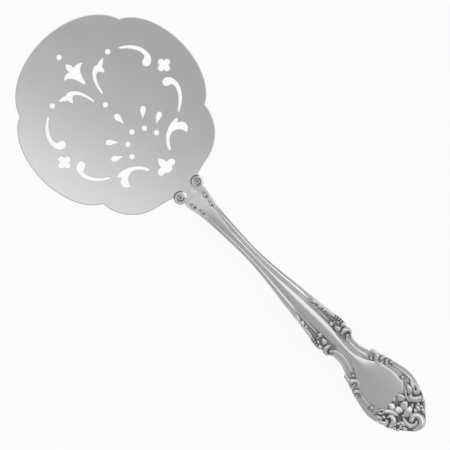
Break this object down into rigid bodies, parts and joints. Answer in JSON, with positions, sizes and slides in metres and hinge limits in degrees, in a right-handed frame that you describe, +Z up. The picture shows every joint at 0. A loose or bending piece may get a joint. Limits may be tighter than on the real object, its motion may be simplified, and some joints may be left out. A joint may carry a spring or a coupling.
{
  "type": "tomato server",
  "caption": "Flat serving piece with a wide lobed and pierced blade and a waisted handle edged with scrolls, leaves and blossoms.",
  "frame": {"origin": "centre of the blade's underside, on the table that the server rests on", "axes": "+X from the blade along the axis to the handle's tip, +Y to the right of a person holding the handle, +Z up, out of the face"},
  "size_m": [0.1967, 0.071, 0.0147],
  "materials": {
    "satin_silver": "satin sterling silver with fine wear",
    "chased_silver": "raised silver ornament, dark in the recesses"
  },
  "bodies": {
    "root": {"blade": "satin_silver", "handle": "satin_silver", "shoulder_volute_left": "chased_silver", "shoulder_volute_right": "chased_silver", "neck_husks_left": "chased_silver", "neck_husks_right": "chased_silver", "shank_thread_left": "chased_silver", "shank_thread_right": "chased_silver", "acanthus_left": "chased_silver", "acanthus_right": "chased_silver", "shell_left": "chased_silver", "shell_right": "chased_silver", "knuckle_scroll_left": "chased_silver", "knuckle_scroll_right": "chased_silver", "waist_thread_left": "chased_silver", "waist_thread_right": "chased_silver", "shoulder_leaf_left": "chased_silver", "shoulder_leaf_right": "chased_silver", "border_scroll_left": "chased_silver", "border_scroll_right": "chased_silver", "field_thread_left": "chased_silver", "field_thread_right": "chased_silver", "crest_scroll_left": "chased_silver", "crest_scroll_right": "chased_silver", "side_blossom_left": "chased_silver", "side_blossom_right": "chased_silver", "crest_blossom": "chased_silver", "crest_leaf": "chased_silver", "crest_curl": "chased_silver"}
  },
  "joints": []
}
